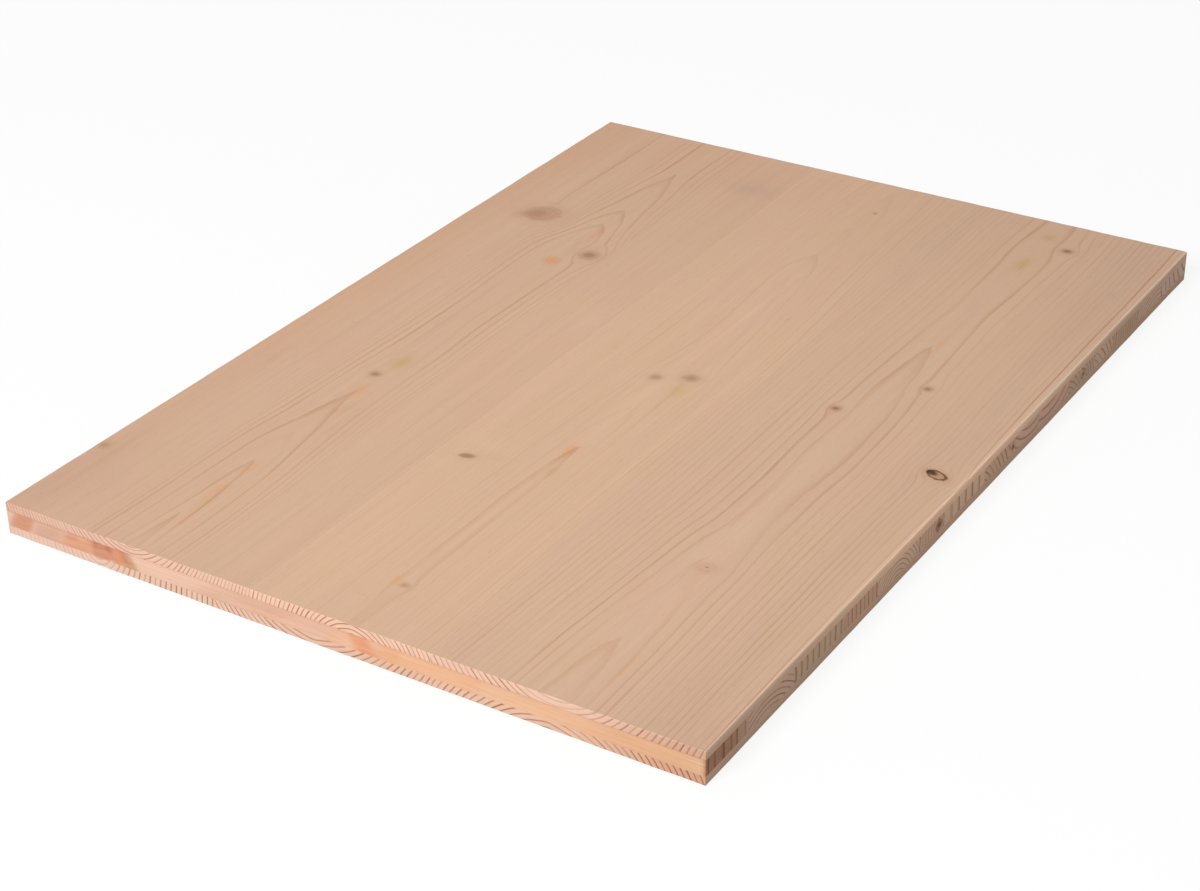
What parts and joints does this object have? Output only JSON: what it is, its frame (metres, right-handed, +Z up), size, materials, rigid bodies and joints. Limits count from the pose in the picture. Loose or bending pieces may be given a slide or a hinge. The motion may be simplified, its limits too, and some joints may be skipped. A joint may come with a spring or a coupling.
{
  "type": "three-ply panel",
  "caption": "Flat three-ply softwood panel, with face plies of edge-glued boards on a crosswise core of slats and square sawn edges.",
  "frame": {"origin": "middle of the underside, on the surface that the panel lies on", "axes": "+Y along the length and the grain of the face boards, +X across the width and along the core slats, +Z up through the thickness"},
  "size_m": [0.42, 0.6, 0.019],
  "materials": {
    "top_boards": "sanded bare softwood, grain along +Y, small knots",
    "core_slats": "sawn bare softwood, grain along +X, end grain on the two long edges",
    "bottom_boards": "sanded bare softwood, grain along +Y, small knots"
  },
  "bodies": {
    "root": {"bottom_board_1": "bottom_boards", "bottom_board_2": "bottom_boards", "bottom_board_3": "bottom_boards", "core_slat_01": "core_slats", "core_slat_02": "core_slats", "core_slat_03": "core_slats", "core_slat_04": "core_slats", "core_slat_05": "core_slats", "core_slat_06": "core_slats", "core_slat_07": "core_slats", "core_slat_08": "core_slats", "core_slat_09": "core_slats", "core_slat_10": "core_slats", "core_slat_11": "core_slats", "core_slat_12": "core_slats", "core_slat_13": "core_slats", "core_slat_14": "core_slats", "core_slat_15": "core_slats", "top_board_1": "top_boards", "top_board_2": "top_boards", "top_board_3": "top_boards"}
  },
  "joints": []
}
